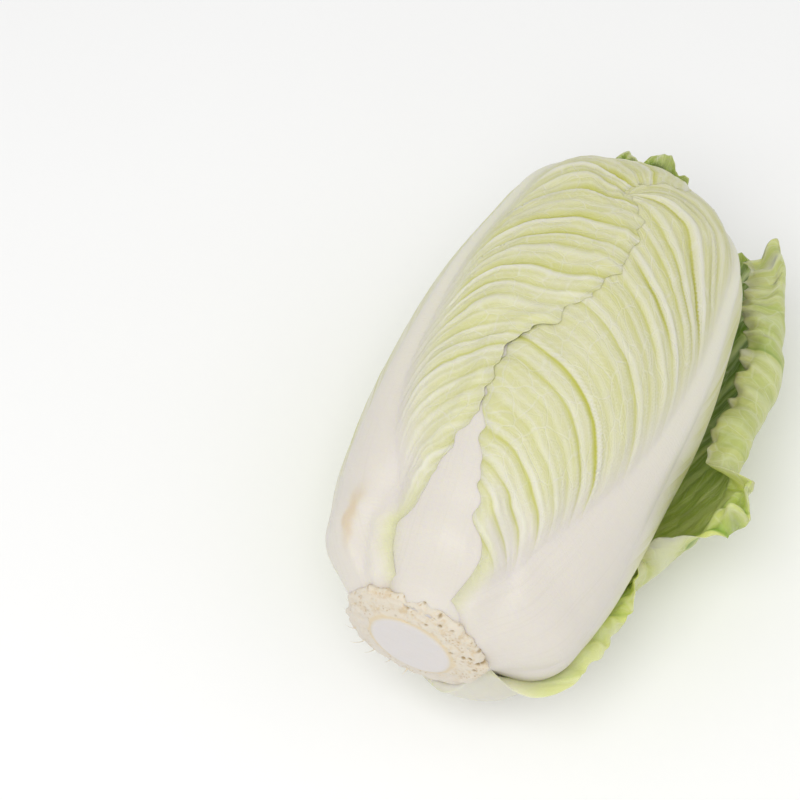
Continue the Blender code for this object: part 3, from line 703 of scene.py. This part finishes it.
def fibre_points(azimuth, radius, length, lean):
    """A thin strand that bends outwards from the ring, as rings of six points."""
    turn = math.radians(azimuth)
    out = np.array([math.sin(turn), 0, math.cos(turn)])
    around = np.array([math.cos(turn), 0, -math.sin(turn)])
    t = np.linspace(0, 1, 8)[:, None]
    tilt = lean * t
    middle = out * (radius - 0.002 + length * t * np.sin(tilt)) + around * 0.25 * length * t * t
    middle[:, 1] = 0.0042 - length * t[:, 0] * np.cos(tilt[:, 0]) * 0.8 - HEAD_LENGTH / 2
    middle[:, 2] += AXIS_HEIGHT
    side = np.linspace(0, 2 * math.pi, 7)[:-1]
    width = FIBRE_RADIUS * (1.15 - t)
    rings = [middle + width * (around * math.cos(a) + (out + [0, 0.3, 0]) * math.sin(a)) for a in side]
    return np.stack(rings, 1)


def grid_faces(index):
    """Four-sided faces between the rows of an index grid, whose columns close on themselves."""
    ahead = np.roll(index, -1, axis=1)
    return np.stack([index[:-1], ahead[:-1], ahead[1:], index[1:]], -1).reshape(-1, 4)


def add_stem(skin, materials):
    """The cut butt, its ring of trimmed leaf bases with pits and torn strands, and the core."""
    radius, y = outline_points(skin)
    turn, row = np.meshgrid(np.linspace(0, 2 * math.pi, STEM_COLUMNS + 1)[:-1], np.arange(len(y)))
    radius, y = radius[row], y[row]
    flat_x, flat_y = radius * np.cos(turn), radius * np.sin(turn)

    def ground(size, seed):
        return noise(flat_x / size, flat_y / size, seed)

    front = ramp(0.013 - y, 0, 0.003)
    ring = ramp(radius, *RING_EDGE) * front
    lines = noise(radius / 0.0016 + 0.8 * np.sin(2 * turn + 1), 4 * np.cos(turn), 3.5)
    lines = lines + 0.5 * noise(radius / 0.0007, 9 * np.sin(turn), 3.7)
    pit = 1 - ramp(cells(flat_x / PIT_SPACING, flat_y / PIT_SPACING, 2.0), 0.06, 0.26)
    pit = pit * ramp(ground(0.007, 3.0), -0.1, 0.4)
    pit = pit * (0.15 + 0.85 * ramp(np.cos(turn - WORN_SIDE), -0.2, 0.5))
    small = 1 - ramp(cells(flat_x / SMALL_PIT_SPACING, flat_y / SMALL_PIT_SPACING, 5.0), 0.05, 0.3)
    small = small * ramp(ground(0.004, 5.2), 0.0, 0.5)
    rough = ground(0.0035, 4.0) + 0.6 * ground(0.0014, 6.0)
    sunk = PIT_DEPTH * pit + SMALL_PIT_DEPTH * small
    y = y + ring * (sunk - ROUGH_HEIGHT * rough - LINE_HEIGHT * lines)
    ragged = 1 + ring * 0.04 * noise(3.0 * np.cos(turn) + 3, 3.0 * np.sin(turn) + 3, 7.0)
    ragged += ring * 0.035 * noise(9 * np.cos(turn), 9 * np.sin(turn), 7.5)
    cut = (1 - ramp(radius, *CUT_EDGE)) * front
    groove = np.exp(-(((radius - GROOVE_RADIUS) / GROOVE_WIDTH) ** 2)) * front
    y = y + cut * 0.00012 * noise(flat_x / 0.002, flat_y / 0.009, 9.0)
    radius = radius * ragged
    parts = [in_frame(radius, turn, y).reshape(-1, 3)]
    faces = [grid_faces(np.arange(radius.size).reshape(radius.shape))]
    shown = ring * (0.25 + 0.75 * ramp(np.cos(turn - WORN_SIDE), -0.5, 0.4))
    values = {"ring": shown, "pit": pit * ring, "cut": cut, "small": small * ring, "groove": groove}
    values = {key: [value.ravel()] for key, value in values.items()}
    for fibre in TORN_FIBRES:
        strand = fibre_points(*fibre)
        start = sum(len(p) for p in parts)
        grid = start + np.arange(strand.shape[0] * 6).reshape(-1, 6)
        parts.append(strand.reshape(-1, 3))
        faces.append(grid_faces(grid))
        faces.append(np.array([grid[0, [0, 1, 2, 3]], grid[0, [0, 3, 4, 5]]]))
        faces.append(np.array([grid[-1, [3, 2, 1, 0]], grid[-1, [5, 4, 3, 0]]]))
        for key, value in values.items():
            value.append(np.full(grid.size, 1.0 if key == "ring" else 0.0))
    mesh = bpy.data.meshes.new("fine_stem")
    mesh.from_pydata(np.concatenate(parts), [], np.concatenate(faces))
    for key, value in values.items():
        set_attribute(mesh, key, np.concatenate(value))
    mesh.shade_smooth()
    obj = add_object("fine_stem", mesh)
    obj.modifiers.new("weld", "WELD").merge_threshold = 0.00001
    mesh.materials.append(materials["stem_tissue"])
    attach(obj, "root")
    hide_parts("stem")


# The floor, the lights and the camera.
FLOOR_REACH = 4
LIGHTS = (  # name, place, size in metres and watts
    ("key", (0.05, -0.75, 1.35), 0.9, 9.0),
    ("fill", (0.9, 0.3, 1.2), 1.2, 1.0),
)
SKY = 0.68  # strength of the even white light from all round
CAMERA_AZIMUTH = 26.465  # degrees from straight in front of the stem towards +X
CAMERA_ELEVATION = 57.5
CAMERA_DISTANCE = 1.25
CAMERA_SHIFT = (-0.0643, 0.0036)  # to the right and up
CAMERA_LENS = 124.64  # mm
CAMERA_SENSOR = 36  # mm


def linear(hex_colour):
    """An sRGB hex colour as linear RGBA."""
    values = [int(hex_colour[i : i + 2], 16) / 255 for i in (0, 2, 4)]
    return (*[v / 12.92 if v <= 0.04045 else ((v + 0.055) / 1.055) ** 2.4 for v in values], 1.0)


def add(tree, kind, links, output=0, **settings):
    """Adds a node. Links are its inputs: sockets, or values to set. Gives one of its outputs."""
    made = tree.nodes.new("ShaderNode" + kind)
    for key, value in settings.items():
        setattr(made, key, value)
    for key, value in links.items():
        if isinstance(value, bpy.types.NodeSocket):
            tree.links.new(value, made.inputs[key])
        else:
            made.inputs[key].default_value = value
    return made.outputs[output]


def new_material(name, *attributes):
    """A material, its node tree, its shader, and the mesh's attributes by name."""
    made = bpy.data.materials.new(name)
    made.use_nodes = True
    tree = made.node_tree
    value = {key: add(tree, "Attribute", {}, "Fac", attribute_name=key) for key in attributes}
    return made, tree, tree.nodes["Principled BSDF"], value


def leaf_tissue(name, glow, **hex_colours):
    """Living leaf, grown thin with a film of wax: softly glossy, and light shines through it.

    It is pale along the rib and the veins and greener on the blade, with painted shade in dark yellow down
    in the creases.
    """
    made, tree, shader, value = new_material(
        name, "green", "strength", "number", "gap", "vein", "rim", "tipward", "bruise", "inside"
    )
    sheet = add(tree, "Attribute", {}, "Vector", attribute_name="sheet")
    flow = add(tree, "Attribute", {}, "Vector", attribute_name="flow")
    # Streaks along the veins are 5 mm and 0.8 mm wide, and lines along the rib 1.5 mm.
    for key, source, width, length in (
        ("broad", flow, 0.005, 0.06),
        ("hair", flow, 0.0008, 0.04),
        ("rib_line", sheet, 0.0015, 0.09),
    ):
        stretch = {0: source, 1: (1 / width, 1 / length, 1)}
        drawn_out = add(tree, "VectorMath", stretch, operation="MULTIPLY")
        value[key] = add(tree, "TexNoise", {"Vector": drawn_out, "Scale": 1.0, "Roughness": 0.6})
    # Clouds are 30 mm across, and the grain of the skin is 1.1 mm.
    clouds = {"Vector": sheet, "Scale": 1 / 0.03, "Detail": 4.0, "Roughness": 0.6}
    value["cloud"] = add(tree, "TexNoise", clouds)
    value["grain"] = add(tree, "TexNoise", {"Vector": sheet, "Scale": 1 / 0.0011, "Detail": 3.0})
    # The smallest veins close cells 7.5 mm and 2.8 mm wide, pushed up to 2 mm out of line. The cells
    # are longer along the side veins.
    wander = add(tree, "TexNoise", {"Vector": sheet, "Scale": 1 / 0.011, "Detail": 1.0}, "Color")
    shift = add(tree, "VectorMath", {0: wander, 1: (0.004, 0.004, 0)}, operation="MULTIPLY")
    bent = add(tree, "VectorMath", {0: flow, 1: (1, 0.6, 1), 2: shift}, operation="MULTIPLY_ADD")
    for key, cell in (("wide_net", 0.0075), ("small_net", 0.0028)):
        links = {"Vector": bent, "Scale": 1 / cell}
        value[key] = add(tree, "TexVoronoi", links, "Distance", feature="DISTANCE_TO_EDGE")
    # Dark specks are 1 mm across and some 35 mm apart.
    value["speck"] = add(tree, "TexVoronoi", {"Vector": sheet, "Scale": 1 / 0.035}, "Distance")
    # How far it is to the nearest crease: as a share of the space between two, and in metres.
    nearest = add(tree, "Math", {0: value["number"]}, operation="ROUND")
    beyond = add(tree, "Math", {0: value["number"], 1: nearest}, operation="SUBTRACT")
    side = add(tree, "Math", {0: value["gap"]}, operation="SIGN")
    value["past"] = add(tree, "Math", {0: beyond, 1: side}, operation="MULTIPLY")
    metres = add(tree, "Math", {0: beyond, 1: value["gap"]}, operation="MULTIPLY")
    value["away"] = add(tree, "Math", {0: metres}, operation="ABSOLUTE")
    # Each goes smoothly from the start, at the low value of its source, to the end at the high one.
    # The painted shade stroke down in a crease is 2 mm wide, and a wider band of painted shade fades out
    # over the open side of each crease.
    for key, source, low, high, start, end in (
        ("blotch", "cloud", 0.35, 0.7, 0, 0.4),
        ("broad", "broad", 0.4, 0.62, 0, 0.35),
        ("tip_green", "tipward", 0, 1, 0, 0.35),
        ("hair_line", "hair", 0.55, 0.75, 0, 0.35),
        ("rib_line", "rib_line", 0.5, 0.75, 0, 0.25),
        ("rib_fade", "tipward", 0.15, 0.75, 0, 0.9),
        ("wide_net", "wide_net", 0, 0.055, 1, 0),
        ("small_net", "small_net", 0, 0.1, 0.4, 0),
        ("net_share", "green", 0, 1, 0, 0.4),
        # Partly the leaf's own greener tint and partly painted shade: the inner face turns darker green
        # towards the tip.
        ("inner_tip_and_shade", "tipward", 0.45, 0.8, 0, 1),
        ("inner_share", "inside", 0, 1, 0, 0.8),
        ("rim_share", "inside", 0, 1, 0.6, 0.05),
        ("crease_shade_line", "away", 0.0001, 0.001, 1, 0),
        ("shade", "past", 0, 0.42, 0.85, 0),
        ("open_side", "past", -0.06, 0, 0, 1),
        ("bruise", "bruise", 0, 1, 0, 0.65),
        ("speck", "speck", 0.012, 0.016, 1, 0),
        ("roughness", "cloud", 0, 1, 0.38, 0.54),
    ):
        links = {"Value": value[source], "From Min": low, "From Max": high, "To Min": start, "To Max": end}
        value[key] = add(tree, "MapRange", links, interpolation_type="SMOOTHSTEP")
    for key, operation, first, second in (
        ("deep", "ADD", "blotch", "broad"),
        ("deep", "ADD", "deep", "tip_green"),
        ("hair_line", "MULTIPLY", "hair_line", "green"),
        ("net", "MAXIMUM", "wide_net", "small_net"),
        ("net_line", "MULTIPLY", "net", "net_share"),
        ("rim", "MULTIPLY", "rim", "rim_share"),
        ("crease_shade_line", "MULTIPLY", "crease_shade_line", "strength"),
        ("shade", "MULTIPLY", "shade", "open_side"),
        ("shade", "MULTIPLY", "shade", "strength"),
        ("swell", "MULTIPLY", "net", "green"),
        ("swell", "SUBTRACT", "grain", "swell"),
        ("swell", "ADD", "swell", "hair"),
    ):
        value[key] = add(tree, "Math", {0: value[first], 1: value[second]}, operation=operation)
    colour = {key: linear(hex_colour) for key, hex_colour in hex_colours.items()}
    for key, amount, first, second in (
        ("face", "deep", "blade", "deep"),
        # The inner face near the tip gets the darker colour, which is partly its own tint and partly
        # painted shade.
        ("inner_face", "inner_tip_and_shade", "inside", "inside_tip"),
        ("face", "inner_share", "face", "inner_face"),
        ("pale", "rib_line", "rib", "rib_shade"),
        ("pale", "rib_fade", "pale", "vein"),
        ("tissue", "green", "pale", "face"),
        ("tissue", "rim", "tissue", "edge"),
        ("tissue", "hair_line", "tissue", "vein"),
        ("tissue", "net_line", "tissue", "vein"),
        ("tissue", "vein", "tissue", "vein"),
        # Painted shade: the crease colour goes in a band past each crease and as a narrow stroke down in
        # it.
        ("tissue", "shade", "tissue", "crease"),
        ("tissue", "crease_shade_line", "tissue", "crease"),
        ("tissue", "bruise", "tissue", "bruise"),
        ("tissue", "speck", "tissue", "speck"),
    ):
        links = {0: value[amount], 6: colour[first], 7: colour[second]}
        colour[key] = add(tree, "Mix", links, 2, data_type="RGBA")
    tree.links.new(colour["tissue"], shader.inputs["Base Color"])
    tree.links.new(value["roughness"], shader.inputs["Roughness"])
    # The skin swells between the smallest veins by a quarter of a millimetre.
    links = {"Height": value["swell"], "Distance": 0.00025, "Strength": 0.45}
    tree.links.new(add(tree, "Bump", links, "Normal"), shader.inputs["Normal"])
    shader.inputs["IOR"].default_value = 1.42  # plant wax
    shader.inputs["Subsurface Weight"].default_value = glow
    shader.inputs["Subsurface Radius"].default_value = (0.85, 1.0, 0.4)
    shader.inputs["Subsurface Scale"].default_value = 0.003
    shader.inputs["Coat Weight"].default_value = 0.08
    shader.inputs["Coat Roughness"].default_value = 0.35
    return made


def stem_tissue():
    """Stem sliced by a knife: the cut is moist, dense and smooth, the ring dry, fibrous and pitted."""
    made, tree, shader, value = new_material("stem_tissue", "ring", "pit", "cut", "groove", "small")
    place = add(tree, "TexCoord", {}, "Object")
    # Stains are 6 mm across, and the grain is 0.7 mm.
    stains = {"Vector": place, "Scale": 1 / 0.006, "Detail": 5.0, "Roughness": 0.65}
    value["stain"] = add(tree, "TexNoise", stains)
    grain = add(tree, "TexNoise", {"Vector": place, "Scale": 1 / 0.0007, "Detail": 4.0})
    for key, source, low, high, start, end in (
        ("stain", "stain", 0.46, 0.68, 0, 0.65),
        ("small", "small", 0, 1, 0, 0.75),
        ("pit", "pit", 0, 1, 0, 0.8),
        ("groove", "groove", 0, 1, 0, 0.55),
        ("roughness", "cut", 0, 1, 0.62, 0.42),
    ):
        links = {"Value": value[source], "From Min": low, "From Max": high, "To Min": start, "To Max": end}
        value[key] = add(tree, "MapRange", links, interpolation_type="SMOOTHSTEP")
    value["stain"] = add(tree, "Math", {0: value["stain"], 1: value["ring"]}, operation="MULTIPLY")
    colour = linear("DAD3C8")
    for amount, goal in (
        ("ring", "DED5C4"),
        ("stain", "CFB68A"),
        ("small", "BC9E66"),
        ("pit", "967A42"),
        ("cut", "DAD5D2"),
        ("groove", "DCC79A"),
    ):
        colour = add(tree, "Mix", {0: value[amount], 6: colour, 7: linear(goal)}, 2, data_type="RGBA")
    tree.links.new(colour, shader.inputs["Base Color"])
    tree.links.new(value["roughness"], shader.inputs["Roughness"])
    links = {"Height": grain, "Distance": 0.0002, "Strength": 0.5}
    tree.links.new(add(tree, "Bump", links, "Normal"), shader.inputs["Normal"])
    shader.inputs["IOR"].default_value = 1.38  # wet plant tissue
    shader.inputs["Subsurface Weight"].default_value = 0.25
    shader.inputs["Subsurface Radius"].default_value = (1.0, 0.8, 0.5)
    shader.inputs["Subsurface Scale"].default_value = 0.003
    return made


def add_floor():
    """A wide board rolled with matt white paint: it shows only soft clouds, some 300 mm across."""
    made, tree, shader, _ = new_material("rolled_matt_paint")
    place = add(tree, "TexCoord", {}, "Object")
    clouds = add(tree, "TexNoise", {"Vector": place, "Scale": 1 / 0.3})
    links = {0: clouds, 6: linear("FCFCFB"), 7: linear("FFFFFF")}
    tree.links.new(add(tree, "Mix", links, 2, data_type="RGBA"), shader.inputs["Base Color"])
    shader.inputs["Roughness"].default_value = 0.7
    shader.inputs["IOR"].default_value = 1.5  # acrylic paint
    mesh = bpy.data.meshes.new("floor")
    corners = [(FLOOR_REACH * x, FLOOR_REACH * y, 0) for x, y in ((-1, -1), (1, -1), (1, 1), (-1, 1))]
    mesh.from_pydata(corners, [], [(0, 1, 2, 3)])
    mesh.materials.append(made)
    add_object("floor", mesh)


def add_light(name, place, size, power):
    """A soft square lamp that faces the middle of the floor."""
    light = bpy.data.lights.new(name, "AREA")
    light.shape = "SQUARE"
    light.size = size
    light.energy = power
    obj = add_object(name, light)
    obj.location = place
    obj.rotation_euler = Vector(place).to_track_quat("Z", "Y").to_euler()


def add_camera():
    """Above and in front of the stem, as the photograph was taken."""
    azimuth, elevation = math.radians(CAMERA_AZIMUTH), math.radians(CAMERA_ELEVATION)
    level = math.cos(elevation)
    back = Vector((math.sin(azimuth) * level, -math.cos(azimuth) * level, math.sin(elevation)))
    right = Vector((math.cos(azimuth), math.sin(azimuth), 0))
    up = back.cross(right)
    camera = bpy.data.cameras.new("camera")
    camera.lens = CAMERA_LENS
    camera.sensor_width = CAMERA_SENSOR
    camera.clip_start = 0.05
    obj = add_object("camera", camera)
    obj.matrix_world = Matrix((right, up, back)).transposed().to_4x4()
    aside = right * CAMERA_SHIFT[0] + up * CAMERA_SHIFT[1]
    obj.location = back * CAMERA_DISTANCE + aside + Vector((0, 0, AXIS_HEIGHT))
    bpy.context.scene.camera = obj


def add_world():
    """Even white light, and colours shown as they are."""
    world = bpy.data.worlds.new("studio")
    bpy.context.scene.world = world
    world.use_nodes = True
    background = world.node_tree.nodes["Background"]
    background.inputs["Color"].default_value = (1.0, 1.0, 1.0, 1)
    background.inputs["Strength"].default_value = SKY
    bpy.context.scene.view_settings.view_transform = "Standard"


def main():
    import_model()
    materials = {
        "pale_leaf_tissue": leaf_tissue(
            "pale_leaf_tissue",
            # The crease colour is painted shade, laid down in and beside the creases.
            rib="DED8CE", rib_shade="D2CDBD", blade="D9D8B0", deep="D3D391", crease="BFC052",
            # The colour for the inner face near the tip is darker green: partly the leaf's own tint, partly
            # painted shade.
            vein="E4E3D0", edge="D6D898", inside="D5D79C", inside_tip="C6CC86", bruise="D2BD98",
            speck="6B6240", glow=0.3,
        ),
        "green_leaf_tissue": leaf_tissue(
            "green_leaf_tissue",
            # The crease colour is painted shade, laid down in and beside the creases.
            rib="D9D6C8", rib_shade="CFCDB2", blade="D0D38E", deep="B1BD6A", crease="7E9A40",
            # The colour for the inner face near the tip is darker green: partly the leaf's own tint, partly
            # painted shade.
            vein="D6DBB4", edge="D2D48E", inside="C6D07A", inside_tip="5E7A28", bruise="D2BD98",
            speck="6B6240", glow=0.6,
        ),
        "stem_tissue": stem_tissue(),
    }
    skin = Skin(SKIN_RADII, HEAD_LENGTH)
    stack = Stack()
    add_stem(skin, materials)
    for leaf in LEAVES:
        add_leaf(skin, stack, leaf, materials)
    add_floor()
    for light in LIGHTS:
        add_light(*light)
    add_world()
    add_camera()


main()
